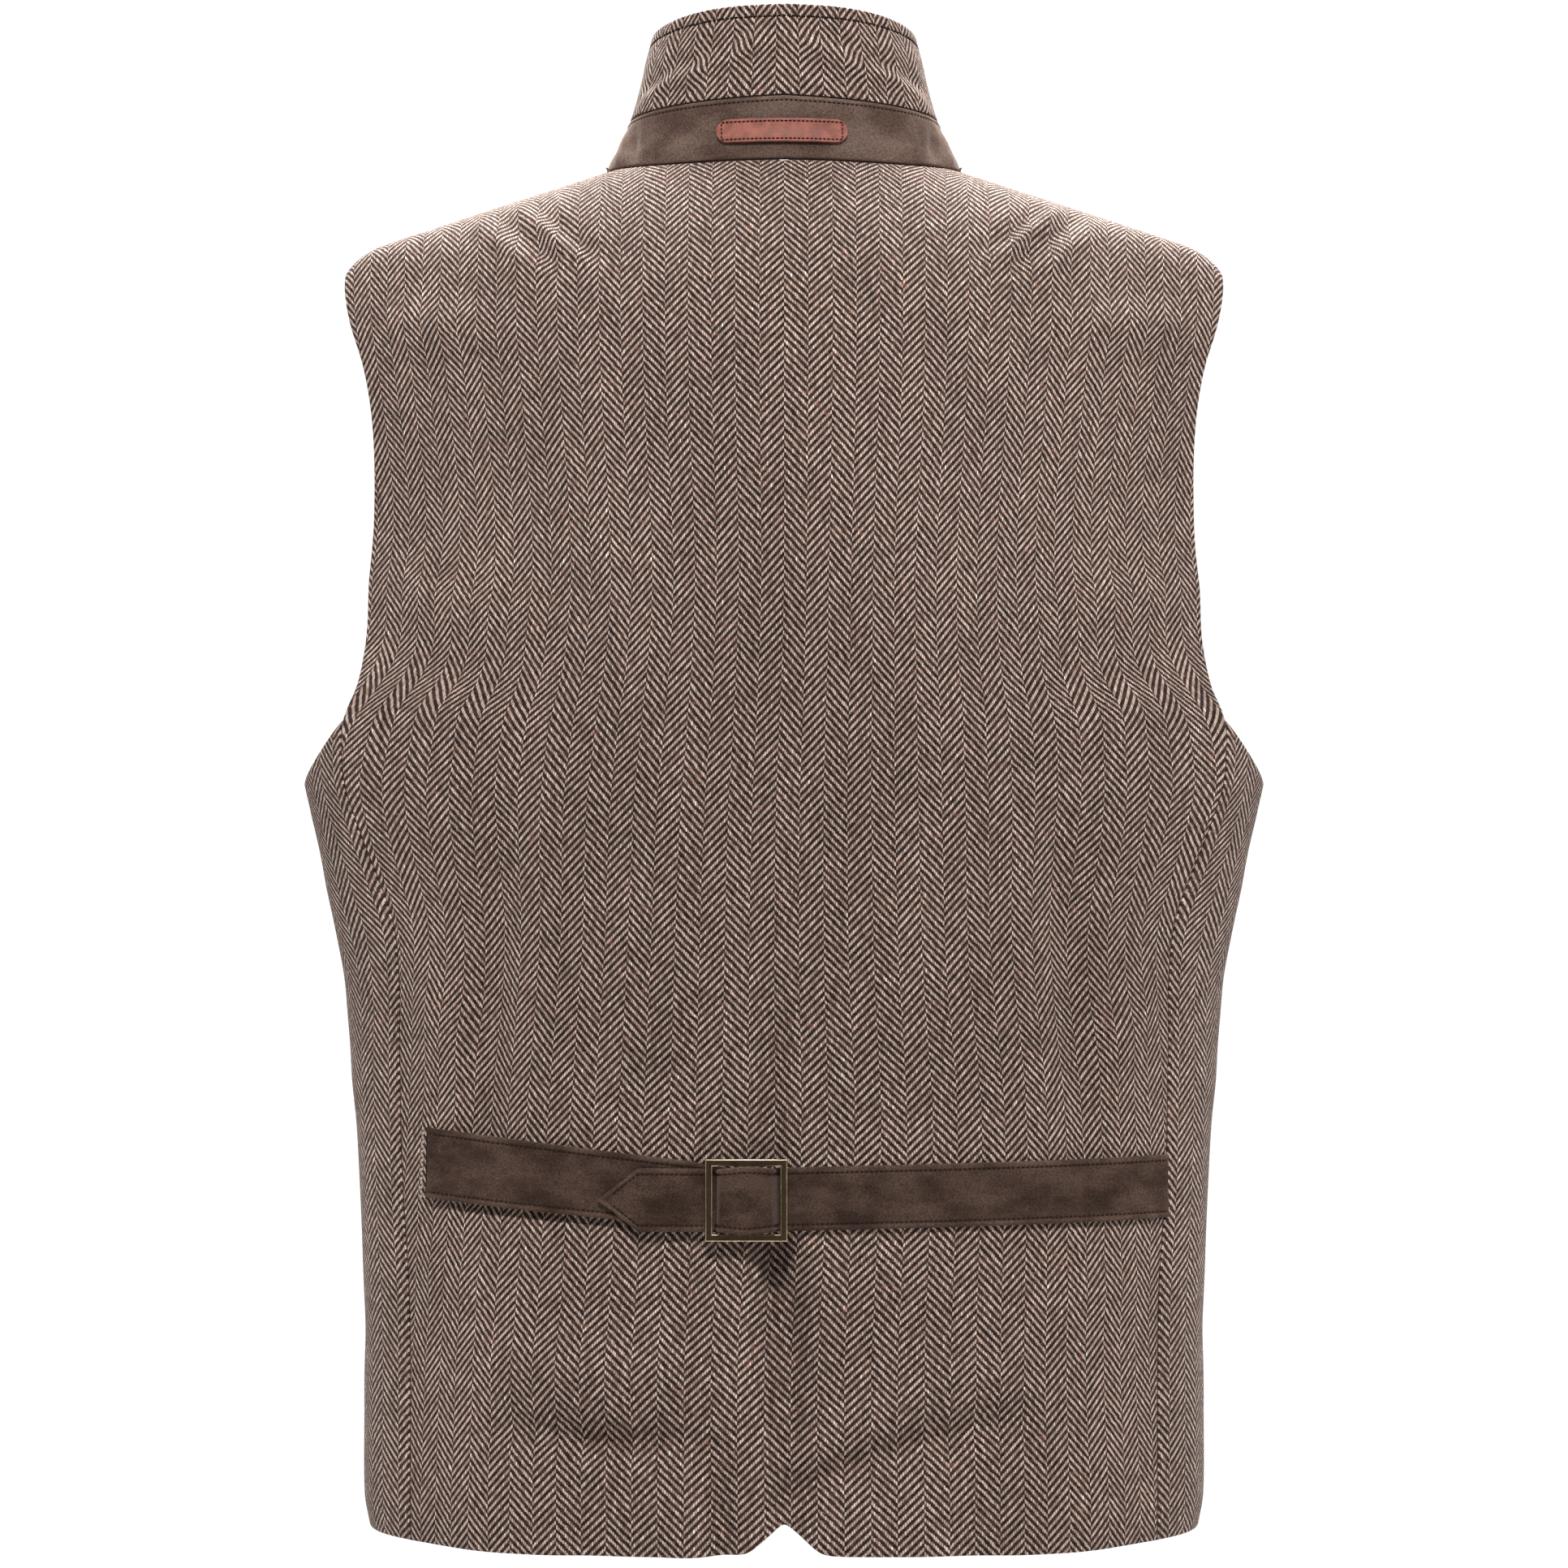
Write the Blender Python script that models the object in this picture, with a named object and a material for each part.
"""Herringbone tweed waistcoat with a stand-up collar and a back belt, in its worn form.

The garment is hollow and filled out, with no wearer. Every piece of cloth is a thin closed wall on one
general figure: level rings from the hem to the armholes, and arches over the shoulders above them.
The wearer's front faces -Y and the wearer's left is at +X. The origin lies midway between the two
points where the shoulder line meets the neck. Sizes are millimetres until a vertex is placed.
"""

import math

import bmesh
import bpy
from mathutils import Matrix, Vector

MM = 0.001

# Thicknesses and clearances
TWEED = 2.8          # tweed with the lining behind it
SUEDE = 1.8          # one strap or band of suede, turned double
LABEL = 1.5          # leather label
SEAM_GAP = 0.3       # between pieces that are sewn together
LAY_GAP = 0.3        # under a piece that lies on another

# The figure: level rings, from the hem up.
# columns: level, half width, depth behind the shoulder line, depth before it, squareness of the ring
RINGS = (
    (-684, 208.5, 121, 120, 2.95),
    (-665, 211.2, 121.5, 120.5, 3.00),
    (-619, 211.5, 117, 118, 3.00),
    (-554, 212.3, 110, 114, 2.90),
    (-503, 214.4, 107, 112, 2.80),
    (-453, 217.7, 108, 113, 2.60),
    (-404, 223.4, 112, 116, 2.45),
    (-355, 231.6, 117, 120, 2.30),
    (-322, 239.4, 121, 123, 2.25),
    (-300, 243.5, 123, 124, 2.20),
    (-200, 244.0, 129, 122, 2.20),
    (0, 244.0, 129, 118, 2.20),
)
HEM = -684
HEM_RISE = 4         # the hem is this much higher at the sides
UNDERARM = -308      # lowest point of the armholes
SEAM_TOP = -276      # where the side panels' seams reach the armholes
SPRING = -200        # above this level the cloth arches over the shoulders
YOKE_START, YOKE_END = -310, -150     # between these the rings turn into the rounder upper back and chest
BACK_SLOPE, BACK_FLAT = 0.8, 120      # fall of the upper back towards the armholes
CHEST_SLOPE, CHEST_FLAT = 0.55, 110    # fall of the upper chest
ARCH_SQUARE, TIP_SQUARE = 2.4, 3.6    # squareness of the arches over the shoulders, at the neck and tips

# Shoulders and neck
SHOULDER_FALL = 0.32     # drop of the shoulder line for each millimetre outwards
SHOULDER_TIP = 222       # half width at the shoulder tips
TIP_ROUND, TIP_DROP = 22, 6
NECK_PEAK = 19           # height that the two shoulder arches would reach at the neck's axis
NECK_POINT = 91          # where the shoulder line starts
SEAM_FORWARD = 22        # the shoulder seam lies this far before the shoulder line
NECK_HALF, NECK_BACK, NECK_FRONT = 90, 63, 58

# Outer edge of the back panel: side-back seam below SEAM_TOP, armhole above. columns: level, half width
BACK_EDGE = (
    (-684, 184), (-565, 185), (-503, 189), (-440, 190.5), (-404, 190.5), (-376, 193.5),
    (-354, 201.5), (-342, 206.5), (-325, 213), (-310, 218), (-296, 219.8), (-276, 219.5),
    (-258, 212), (-242, 209), (-226, 207.5), (-193, 205.5), (-161, 206), (-128, 210),
    (-94, 216.6), (-62, 221.3), (-45, 222),
)
# Armhole edge of the fronts. columns: level, half width
FRONT_EDGE = (
    (-276, 220.5), (-262, 210), (-245, 200), (-220, 193.5), (-190, 190.5), (-160, 192),
    (-130, 197), (-100, 205), (-75, 213), (-58, 219), (-45, 222),
)
FRONT_SEAM = 0.905       # the side-front seam's place, as a share of the ring's half width
EDGE_RISE = 155          # height of the shoulder tip above the spring
LEVELS = (-684, -655, -620, -585, -550, -515, -480, -442, -404, -372, -345, -322, -300, -276,
          -256, -228, -200)
ROWS_UNDERARM = 13       # rows of LEVELS that belong to the side panels
ROWS_ARCH = 9
NECK_COLUMNS, SHOULDER_COLUMNS = 6, 6
LAP = 20                 # the fronts pass the middle by this much, left over right
LAP_FADE = 12
FRONT_COLUMNS = (-LAP, 0, LAP + 2, LAP + 3 + LAP_FADE, 54, 72, 84)   # from the laps' edge to the neck point

# Notch at the middle of the back hem
NOTCH_HEIGHT, NOTCH_HALF = 17, 18

# Collar, by height above its seam. columns: height, half width, depth behind, depth before
COLLAR = (
    (0, 90, 63, 58), (6, 88, 62, 57.5), (11, 85, 61, 57), (16, 82.5, 60, 56.5), (21, 80, 59.5, 56),
    (31, 76.4, 58.5, 55.5), (46, 72.3, 57, 55), (56, 70.2, 56, 54), (65, 67.8, 55, 53), (74, 65.5, 54, 52),
)
# Upper edges of the suede band and of the collar. columns: share of the way round from the back, level
BAND_LINE = ((0, 34.5), (0.15, 32.4), (0.3, 29.7), (0.5, 25.5), (0.75, 16), (1.0, 9))
TOP_LINE = ((0, 80.3), (0.15, 79), (0.3, 75.2), (0.5, 67.5), (0.75, 56), (1.0, 49))
COLLAR_GAP = 4                       # between the collar's ends at the middle of the front
COLLAR_SEAT = 0.9                    # clearance under the band
BACK_SHARE = 0.46                    # share of each half of the collar that lies behind the shoulder line
SIDE_SHARE = 0.54                    # up to here its side is straight, and from here it turns to the front

# Belt and buckle
BUCKLE_X, BUCKLE_LEVEL = 18.3, -511
FRAME_SIZE, FRAME_BAR, FRAME_THICK = 40, 4.4, 3.0
FRAME_REST = 5.0          # the frame's underside above the back panel
BAR_RADIUS, BAR_HEIGHT = 1.1, 6.5
LEFT_END, RIGHT_END = 175, -189
TONGUE_TIP, TONGUE_SHOULDER = 90.4, 71
LEFT_WIDTH_SEAM, LEFT_WIDTH, RIGHT_WIDTH = 34.5, 32, 31
LEFT_END_LEVEL, RIGHT_END_LEVEL = -494.5, -506.5

BUTTON_LEVELS = (-92, -188, -284, -380, -476, -572)
BUTTON_RADIUS, BUTTON_THICK = 10, 4


def clear_scene():
    for item in list(bpy.data.objects):
        bpy.data.objects.remove(item, do_unlink=True)


def finish(name, colour, roughness, metallic=0.0):
    material = bpy.data.materials.new(name)
    material.use_nodes = True
    shader = material.node_tree.nodes["Principled BSDF"]
    shader.inputs["Base Color"].default_value = (*colour, 1.0)
    shader.inputs["Roughness"].default_value = roughness
    shader.inputs["Metallic"].default_value = metallic
    return material


def mix(first, second, share):
    return first + (second - first) * share


def soft_step(value):
    value = min(max(value, 0.0), 1.0)
    return value * value * (3 - 2 * value)


def read_table(table, key):
    """The other columns of the table at this key, on a smooth curve through its rows."""
    key = min(max(key, table[0][0]), table[-1][0])
    row = next(i for i in range(len(table) - 1) if key <= table[i + 1][0])
    low, high = table[row], table[row + 1]
    before, after = table[max(row - 1, 0)], table[min(row + 2, len(table) - 1)]
    span = high[0] - low[0]
    share = (key - low[0]) / span
    values = []
    for column in range(1, len(low)):
        slope_low = (high[column] - before[column]) / (high[0] - before[0]) * span
        slope_high = (after[column] - low[column]) / (after[0] - low[0]) * span
        values.append(
            (2 * share**3 - 3 * share**2 + 1) * low[column]
            + (share**3 - 2 * share**2 + share) * slope_low
            + (3 * share**2 - 2 * share**3) * high[column]
            + (share**3 - share**2) * slope_high
        )
    return values


def steps(values, place):
    """Straight reading of a list of values at a place counted in its steps."""
    place = min(max(place, 0.0), len(values) - 1.0)
    low = min(int(place), len(values) - 2)
    return mix(values[low], values[low + 1], place - low)


# ---- the figure ------------------------------------------------------------------------------------

def depth(x, level, behind):
    """Distance of the cloth from the plane of the shoulder line, behind or before it."""
    half, back, front, square = read_table(RINGS, level)
    reach = back if behind else front
    slope, flat = (BACK_SLOPE, BACK_FLAT) if behind else (CHEST_SLOPE, CHEST_FLAT)
    ring = reach * max(1 - (abs(x) / half) ** square, 0.0) ** (1 / square)
    yoke = reach - slope * (math.hypot(x, flat) - flat)
    return mix(ring, yoke, soft_step((level - YOKE_START) / (YOKE_END - YOKE_START)))


def shoulder_height(x):
    """Top of the arch over the shoulder at this distance from the middle."""
    x = abs(x)
    if x < NECK_POINT:
        share = x / NECK_POINT
        fall = SHOULDER_FALL * NECK_POINT / 2
        return NECK_PEAK - (2 * NECK_PEAK - fall) * share**2 + (NECK_PEAK - fall) * share**4
    tip = max(x - (SHOULDER_TIP - TIP_ROUND), 0) / TIP_ROUND
    return -SHOULDER_FALL * (x - NECK_POINT) - TIP_DROP * tip**2


def arch_power(x):
    return 2 / mix(ARCH_SQUARE, TIP_SQUARE, (x / SHOULDER_TIP) ** 2)


def arch(x, turn):
    """Point of the arch at x: turn 0 is its back foot, a right angle its top, a half turn its front foot."""
    level = SPRING + (shoulder_height(x) - SPRING) * math.sin(turn) ** arch_power(x)
    reach = depth(x, level, math.cos(turn) > 0) * abs(math.cos(turn)) ** arch_power(x)
    return Vector((x, math.copysign(reach, math.cos(turn)), level))


def turn_at(x, y):
    """The turn at which the arch at x passes over y."""
    level = shoulder_height(x)
    turn = math.pi / 2
    for _ in range(12):
        share = min(abs(y) / depth(x, level, y > 0), 1.0) ** (1 / arch_power(x))
        turn = math.acos(math.copysign(share, y))
        level = SPRING + (shoulder_height(x) - SPRING) * math.sin(turn) ** arch_power(x)
    return turn


def trunk(x, level, behind):
    reach = depth(x, level, behind)
    return Vector((x, reach if behind else -reach, level))


def back_face(x, level, lift):
    """Point at a height above the back panel, below the shoulders."""
    step = 0.5
    slope_x = (depth(x + step, level, True) - depth(x - step, level, True)) / (2 * step)
    slope_z = (depth(x, level + step, True) - depth(x, level - step, True)) / (2 * step)
    return trunk(x, level, True) + Vector((-slope_x, 1, -slope_z)).normalized() * lift


# ---- walls of cloth --------------------------------------------------------------------------------

def wall(name, place, columns, rows, thickness, outward, material):
    """A closed wall whose outer face is place(u, v), with u and v from 0 to 1."""
    def normal(u, v):
        step = 1e-4
        across = place(min(u + step, 1), v) - place(max(u - step, 0), v)
        along = place(u, min(v + step, 1)) - place(u, max(v - step, 0))
        return across.cross(along).normalized() * outward

    mesh = bpy.data.meshes.new(name)
    bm = bmesh.new()
    bmesh.ops.create_grid(bm, x_segments=columns, y_segments=rows, size=0.5)
    across, along = bm.verts.layers.float.new("across"), bm.verts.layers.float.new("along")
    for vert in bm.verts:
        vert[across], vert[along] = vert.co.x + 0.5, vert.co.y + 0.5
    extruded = bmesh.ops.extrude_face_region(bm, geom=bm.faces[:], use_keep_orig=True)
    inner = {item for item in extruded["geom"] if isinstance(item, bmesh.types.BMVert)}
    for vert in bm.verts:
        u, v = vert[across], vert[along]
        point = place(u, v)
        if vert in inner:
            point = point - normal(u, v) * thickness
        vert.co = point * MM
    face_outwards(bm)
    bm.to_mesh(mesh)
    bm.free()
    return add(name, mesh, material)


def face_outwards(bm):
    bmesh.ops.recalc_face_normals(bm, faces=bm.faces[:])
    if bm.calc_volume(signed=True) < 0:
        bmesh.ops.reverse_faces(bm, faces=bm.faces[:])


def add(name, mesh, material):
    mesh.shade_smooth()
    mesh.set_sharp_from_angle(angle=math.radians(50))
    mesh.materials.append(material)
    piece = bpy.data.objects.new(name, mesh)
    bpy.context.collection.objects.link(piece)
    return piece


# ---- tweed panels ----------------------------------------------------------------------------------

def shoulder_columns():
    """Distance from the middle of each column along the shoulder seam, from the neck to the tip."""
    return [mix(NECK_HALF, SHOULDER_TIP, k / SHOULDER_COLUMNS) for k in range(SHOULDER_COLUMNS + 1)]


def hem_lift(x, row, notched):
    """Height of the lowest row of points above the plain hem: the sides' rise and the back's notch."""
    rise = HEM_RISE * soft_step((abs(x) - 110) / 100)
    notch = NOTCH_HEIGHT * max(1 - abs(x) / NOTCH_HALF, 0.0)
    return (rise + notched * notch) * max(1 - row, 0)


def back_panel(material):
    shoulder = shoulder_columns()
    seam = -SEAM_FORWARD + SEAM_GAP / 2
    angles = [math.radians(15 * k) for k in range(NECK_COLUMNS)]
    top_x = [NECK_HALF * math.sin(angle) for angle in angles] + shoulder
    top_y = [NECK_BACK * math.cos(angle) for angle in angles] + [seam] * len(shoulder)
    shares = [NECK_HALF / SHOULDER_TIP * k / NECK_COLUMNS for k in range(NECK_COLUMNS)]
    shares += [x / SHOULDER_TIP for x in shoulder]
    count = len(shares) - 1
    last_turn = turn_at(SHOULDER_TIP, seam)

    def place(u, v):
        column, row = abs(2 * u - 1) * count, v * (len(LEVELS) - 1 + ROWS_ARCH)
        side = 1 if u >= 0.5 else -1
        share = steps(shares, column)
        if row <= len(LEVELS) - 1:
            level = steps(LEVELS, row)
            x = share * (read_table(BACK_EDGE, level)[0] - SEAM_GAP / 2)
            return trunk(side * x, level + hem_lift(x, row, True), True)
        climb = (row - len(LEVELS) + 1) / ROWS_ARCH
        end_x, end_y = steps(top_x, column), steps(top_y, column)
        edge_level = SPRING + EDGE_RISE * math.sin(min(last_turn * climb, math.pi / 2))
        low_x = share * (read_table(BACK_EDGE, edge_level)[0] - SEAM_GAP / 2 * (1 - climb))
        return arch(side * mix(low_x, end_x, soft_step(climb)), turn_at(end_x, end_y) * climb)

    wall("back", place, 2 * count, len(LEVELS) - 1 + ROWS_ARCH, TWEED, -1, material)


def side_panel(name, side, material):
    def place(u, v):
        lift = (SEAM_TOP - UNDERARM) * abs(1 - 2 * u) ** 1.9
        level = steps(LEVELS[: ROWS_UNDERARM + 1], v * ROWS_UNDERARM)
        level = HEM + (level - HEM) * (UNDERARM + lift - HEM) / (SEAM_TOP - HEM)
        half, back, front, square = read_table(RINGS, level)
        seam = SEAM_GAP / 2 / back
        start = math.asin((read_table(BACK_EDGE, level)[0] / half) ** (square / 2)) + seam
        end = math.pi - math.asin(FRONT_SEAM ** (square / 2)) - seam
        turn = mix(start, end, u)
        behind = turn < math.pi / 2
        x = half * math.sin(turn) ** (2 / square)
        ring = (back if behind else front) * abs(math.cos(turn)) ** (2 / square)
        reach = mix(ring, depth(x, level, behind), soft_step(1 - 2.5 * min(u, 1 - u)))
        level += hem_lift(x, v * ROWS_UNDERARM, False)
        return Vector((side * x, reach if behind else -reach, level))

    wall(name, place, 8, ROWS_UNDERARM, TWEED, -side, material)


def front_panel(name, side, lap_lift, material):
    shoulder = shoulder_columns()
    seam = -SEAM_FORWARD - SEAM_GAP / 2
    top_x = list(FRONT_COLUMNS) + shoulder
    top_y = [seam - NECK_FRONT * math.sqrt(1 - (x / NECK_HALF) ** 2) for x in FRONT_COLUMNS]
    top_y += [seam] * len(shoulder)
    count = len(top_x) - 1
    last_turn = math.pi - turn_at(SHOULDER_TIP, seam)

    def edge(level):
        if level <= SEAM_TOP:
            return FRONT_SEAM * read_table(RINGS, level)[0] - SEAM_GAP / 2
        return read_table(FRONT_EDGE, level)[0] - SEAM_GAP / 2

    def across(column, limit):
        neck = NECK_HALF / SHOULDER_TIP * limit
        if column <= len(FRONT_COLUMNS):
            return steps([*FRONT_COLUMNS[:-1], mix(FRONT_COLUMNS[-2], neck, 0.6), neck], column)
        return mix(neck, limit, (column - len(FRONT_COLUMNS)) / SHOULDER_COLUMNS)

    def on_figure(u, v):
        column, row = u * count, v * (len(LEVELS) - 1 + ROWS_ARCH)
        if row <= len(LEVELS) - 1:
            level = steps(LEVELS, row)
            x = across(column, edge(level))
            return trunk(side * x, level + hem_lift(x, row, False), False)
        climb = (row - len(LEVELS) + 1) / ROWS_ARCH
        end_x, end_y = steps(top_x, column), steps(top_y, column)
        edge_level = SPRING + EDGE_RISE * math.sin(min(last_turn * climb, math.pi / 2))
        x = mix(across(column, edge(edge_level)), end_x, soft_step(climb))
        return arch(side * x, mix(math.pi, turn_at(end_x, end_y), climb))

    def place(u, v):
        point = on_figure(u, v)
        lift = lap_lift * soft_step((LAP + 2 + LAP_FADE - side * point.x) / LAP_FADE)
        if not lift:
            return point
        step = 1e-4
        run = on_figure(min(u + step, 1), v) - on_figure(max(u - step, 0), v)
        rise = on_figure(u, min(v + step, 1)) - on_figure(u, max(v - step, 0))
        return point + run.cross(rise).normalized() * side * lift

    wall(name, place, count, len(LEVELS) - 1 + ROWS_ARCH, TWEED, side, material)


# ---- collar ----------------------------------------------------------------------------------------

def collar_point(share, climb, line=None, swell=0.0):
    """Point of the collar: share -1 to 1 runs from its right end round the back to its left end.

    climb is the height above its seam, or the part of the way up to a line when one is given.
    """
    side, around = (1 if share >= 0 else -1), abs(share)
    quarter = math.pi / 2
    if around < SIDE_SHARE:
        angle, front = quarter * min(around / BACK_SHARE, 1), False
        slide = -SEAM_FORWARD * max(around - BACK_SHARE, 0) / (SIDE_SHARE - BACK_SHARE)
    else:
        angle, front = quarter * (1 - (around - SIDE_SHARE) / (1 - SIDE_SHARE)), True
        slide = -SEAM_FORWARD

    def ring(height, out):
        half, behind, before = read_table(COLLAR, height)
        reach = -(before + out) if front else behind + out
        return side * (half + out) * math.sin(angle), slide + reach * math.cos(angle)

    foot_x, foot_y = ring(0, 0)
    foot = arch(foot_x, turn_at(foot_x, foot_y)).z + COLLAR_SEAT
    if foot_y < -SEAM_FORWARD:
        over_lap = (foot_x + LAP + 14) / LAP_FADE, (LAP + 14 + LAP_FADE - foot_x) / LAP_FADE
        foot += 6.5 * soft_step(over_lap[0]) * soft_step(over_lap[1])
    height = climb if line is None else climb * (read_table(line, around)[0] - foot)
    x, y = ring(height, swell)
    return Vector((x, y, foot + height))


def collar_end():
    """The share at which the collar stops, half of its gap from the middle of the front."""
    angle = math.asin(COLLAR_GAP / 2 / COLLAR[-1][1])
    return 1 - (1 - SIDE_SHARE) * angle / (math.pi / 2)


def collar_parts(suede, tweed):
    end = collar_end()

    band_line = [(share, level - SEAM_GAP / 2) for share, level in BAND_LINE]

    def band(u, v):
        return collar_point(mix(-end, end, u), v, band_line)

    def upper(u, v):
        lines = zip(BAND_LINE, TOP_LINE)
        line = [(low[0], mix(low[1] + SEAM_GAP / 2, top[1], v)) for low, top in lines]
        return collar_point(mix(-end, end, u), 1, line)

    wall("collar_band", band, 44, 3, TWEED, -1, suede)
    wall("collar_upper", upper, 44, 4, TWEED, -1, tweed)


def label(material):
    length, height, middle_x, middle = 64, 12, 1, 14.5

    def place(u, v):
        x = (u - 0.5) * length
        round_end = max(abs(x) - (length - height) / 2, 0) / (height / 2)
        half = height / 2 * max(math.sqrt(max(1 - round_end**2, 0)), 0.2)
        level = middle + mix(-half, half, v)
        half_width = read_table(COLLAR, level)[0]
        angle = math.asin((x + middle_x) / half_width)
        return collar_point(BACK_SHARE * angle / (math.pi / 2), level, swell=LAY_GAP + LABEL + 0.4)

    wall("label", place, 16, 3, LABEL, -1, material)


# ---- belt and buckle -------------------------------------------------------------------------------

def ribbon(name, path, width, centre, outward, material, columns):
    """A strap: path gives x and the height of its outer face above the back panel."""
    def place(u, v):
        x, lift = path(u)
        return back_face(x, centre(x) + (v - 0.5) * width(x), lift)

    wall(name, place, columns, 2, SUEDE, outward, material)


def climb_over(x, low_x, high_x, low, high):
    return mix(low, high, soft_step((x - low_x) / (high_x - low_x)))


def belt(material):
    flat = LAY_GAP + SUEDE
    outer = BAR_RADIUS + LAY_GAP + SUEDE
    top = BAR_HEIGHT + outer
    loop_back = BUCKLE_X + 5.5

    def left_path(u):
        run, loop = 0.55, 0.87
        if u < run:
            x = mix(LEFT_END, BUCKLE_X, u / run)
            return x, climb_over(x, BUCKLE_X + 13.5, BUCKLE_X + 1.5, flat, top)
        if u < loop:
            angle = math.pi * (u - run) / (loop - run)
            return BUCKLE_X - outer * math.sin(angle), BAR_HEIGHT + outer * math.cos(angle)
        return mix(BUCKLE_X, loop_back, (u - loop) / (1 - loop)), BAR_HEIGHT - outer

    def right_path(u):
        x = mix(RIGHT_END, TONGUE_TIP, u)
        over = top + LAY_GAP + SUEDE
        tongue = 2 * flat
        if x < BUCKLE_X:
            rise = climb_over(x, BUCKLE_X - 34, BUCKLE_X - 20, flat, tongue)
            return x, rise + climb_over(x, BUCKLE_X - 16, BUCKLE_X - 4, 0, over - tongue)
        return x, climb_over(x, BUCKLE_X + 17, BUCKLE_X + 4, tongue, over)

    def left_width(x):
        return climb_over(x, BUCKLE_X, LEFT_END, LEFT_WIDTH, LEFT_WIDTH_SEAM) - 2.5 * soft_step((45 - x) / 8)

    def left_centre(x):
        return mix(BUCKLE_LEVEL, LEFT_END_LEVEL, (x - BUCKLE_X) / (LEFT_END - BUCKLE_X))

    def right_width(x):
        point = min((TONGUE_TIP - x) / (TONGUE_TIP - TONGUE_SHOULDER), 1)
        return (RIGHT_WIDTH - 1.2 * soft_step(1 - abs(x - BUCKLE_X) / 24)) * max(point, 0.04)

    def right_centre(x):
        return mix(BUCKLE_LEVEL, RIGHT_END_LEVEL, max(BUCKLE_X - x, 0) / (BUCKLE_X - RIGHT_END))

    ribbon("belt_left", left_path, left_width, left_centre, 1, material, 40)
    ribbon("belt_right", right_path, right_width, right_centre, -1, material, 64)


def buckle(material):
    """Square slide frame with a middle bar, laid on the back panel's slope."""
    seat = back_face(BUCKLE_X, BUCKLE_LEVEL, 0)
    out = (back_face(BUCKLE_X, BUCKLE_LEVEL, 1) - seat).normalized()
    right = Vector((1, 0, 0)) - out * out.x
    right.normalize()
    up = out.cross(right) * -1
    axes = Matrix((right, up, out)).transposed().to_4x4()
    axes.translation = seat * MM

    mesh = bpy.data.meshes.new("buckle")
    bm = bmesh.new()
    half = FRAME_SIZE / 2 * MM
    bmesh.ops.create_grid(bm, x_segments=1, y_segments=1, size=half)
    bmesh.ops.inset_region(bm, faces=bm.faces[:], thickness=FRAME_BAR * MM, use_boundary=True)
    middle = min(bm.faces, key=lambda face: face.calc_center_median().length)
    bmesh.ops.delete(bm, geom=[middle], context="FACES_ONLY")
    extruded = bmesh.ops.extrude_face_region(bm, geom=bm.faces[:], use_keep_orig=True)
    raised = [item for item in extruded["geom"] if isinstance(item, bmesh.types.BMVert)]
    bmesh.ops.translate(bm, verts=raised, vec=(0, 0, FRAME_THICK * MM))
    bmesh.ops.translate(bm, verts=bm.verts[:], vec=(0, 0, FRAME_REST * MM))
    face_outwards(bm)
    long_edges = [edge for edge in bm.edges if edge.calc_face_angle(0) > 1]
    bmesh.ops.bevel(bm, geom=long_edges, offset=0.9 * MM, segments=2, profile=0.5, material=-1,
                    affect="EDGES")
    bm.to_mesh(mesh)
    bm.free()
    frame = add("buckle", mesh, material)

    bar_mesh = bpy.data.meshes.new("buckle_bar")
    bm = bmesh.new()
    bmesh.ops.create_cone(bm, cap_ends=True, segments=12, radius1=BAR_RADIUS * MM,
                          radius2=BAR_RADIUS * MM, depth=(FRAME_SIZE - FRAME_BAR) * MM)
    bmesh.ops.rotate(bm, verts=bm.verts[:], cent=(0, 0, 0), matrix=Matrix.Rotation(math.pi / 2, 3, "X"))
    bmesh.ops.translate(bm, verts=bm.verts[:], vec=(0, 0, BAR_HEIGHT * MM))
    bm.to_mesh(bar_mesh)
    bm.free()
    bar = bpy.data.objects.new("buckle_bar", bar_mesh)
    bar.hide_render = True
    bar.display_type = "WIRE"
    bpy.context.collection.objects.link(bar)
    join = frame.modifiers.new("middle bar", "BOOLEAN")
    join.operation = "UNION"
    join.object = bar
    frame.matrix_world = axes
    bar.matrix_world = axes


# ---- buttons ---------------------------------------------------------------------------------------

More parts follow.
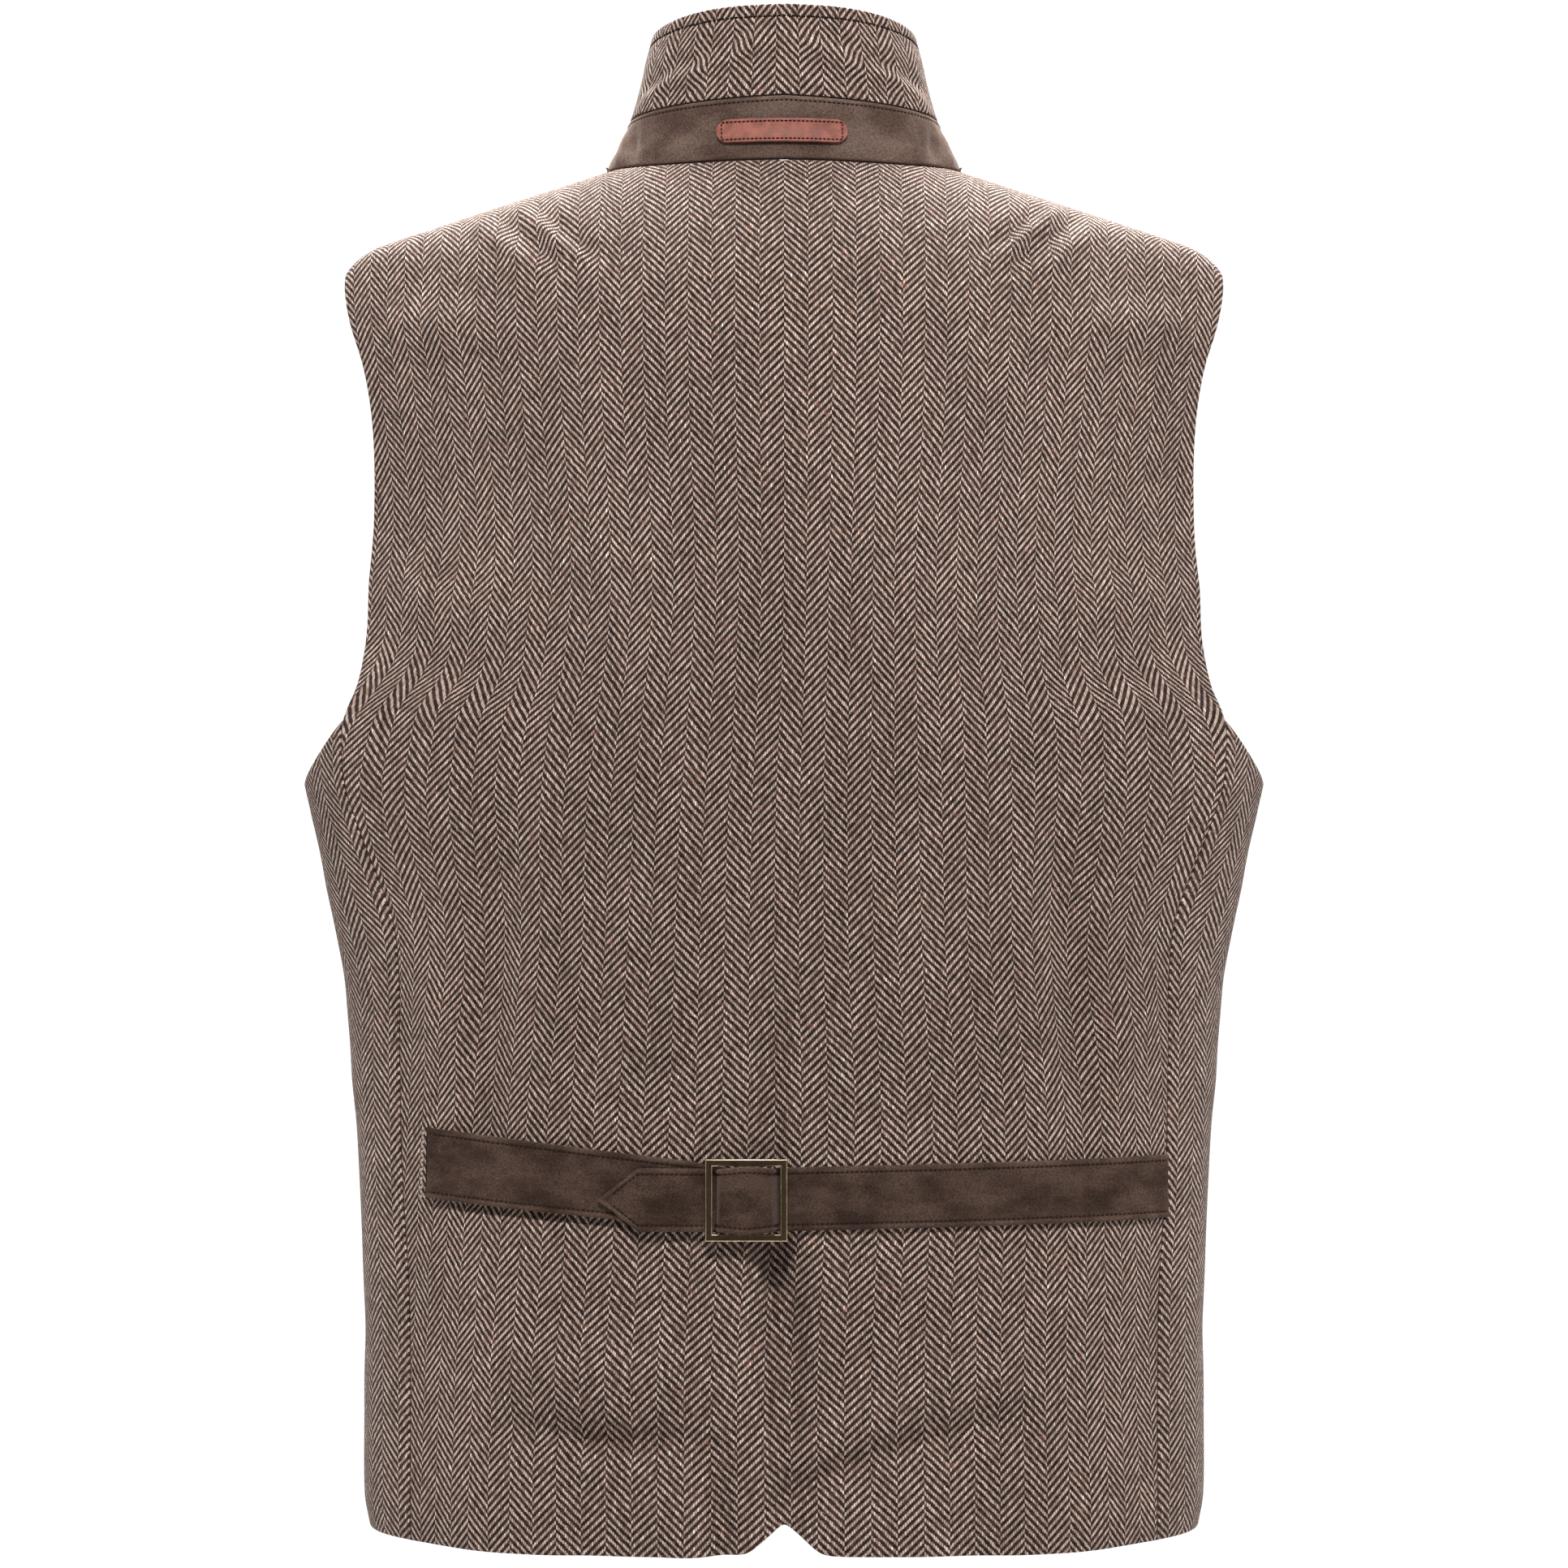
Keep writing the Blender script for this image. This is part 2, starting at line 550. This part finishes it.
def buttons(material):
    """Turned buttons with a raised rim, on the left front along the middle line."""
    profile = ((0, 0), (BUTTON_RADIUS - 1, 0), (BUTTON_RADIUS, 1), (BUTTON_RADIUS, 3),
               (BUTTON_RADIUS - 1, BUTTON_THICK), (BUTTON_RADIUS - 3, 3), (0, 2.6))
    mesh = bpy.data.meshes.new("button")
    bm = bmesh.new()
    verts = [bm.verts.new((radius * MM, 0, height * MM)) for radius, height in profile]
    edges = [bm.edges.new(pair) for pair in zip(verts, verts[1:])]
    bmesh.ops.spin(bm, geom=verts + edges, cent=(0, 0, 0), axis=(0, 0, 1), angle=2 * math.pi, steps=16,
                   use_merge=True)
    bmesh.ops.remove_doubles(bm, verts=bm.verts[:], dist=1e-6)
    face_outwards(bm)
    bm.to_mesh(mesh)
    bm.free()
    mesh.shade_smooth()
    mesh.set_sharp_from_angle(angle=math.radians(50))
    mesh.materials.append(material)
    step = 0.5
    lift = TWEED + 2 * LAY_GAP + 0.3
    for number, level in enumerate(BUTTON_LEVELS, 1):
        seat = front_line(level)
        along = front_line(level + step) - front_line(level - step)
        out = Vector((1, 0, 0)).cross(along).normalized()
        piece = bpy.data.objects.new(f"button_{number}", mesh)
        piece.location = (seat + out * lift) * MM
        piece.rotation_euler = out.to_track_quat("Z", "Y").to_euler()
        bpy.context.collection.objects.link(piece)


def front_line(level):
    """Point of the figure on the middle line of the front."""
    if level <= SPRING:
        return trunk(0, level, False)
    turn = math.pi - math.asin((level - SPRING) / (shoulder_height(0) - SPRING))
    return arch(0, turn)


def build():
    clear_scene()
    tweed = finish("herringbone tweed", (0.175, 0.125, 0.105), 0.9)
    suede = finish("brown suede", (0.075, 0.045, 0.032), 0.85)
    leather = finish("tan leather", (0.42, 0.16, 0.11), 0.55)
    brass = finish("antique brass", (0.42, 0.30, 0.20), 0.3, 1.0)
    horn = finish("brown horn", (0.06, 0.035, 0.02), 0.35)
    back_panel(tweed)
    side_panel("side_left", 1, tweed)
    side_panel("side_right", -1, tweed)
    front_panel("front_left", 1, TWEED + LAY_GAP, tweed)
    front_panel("front_right", -1, 0, tweed)
    collar_parts(suede, tweed)
    label(leather)
    belt(suede)
    buckle(brass)
    buttons(horn)


build()
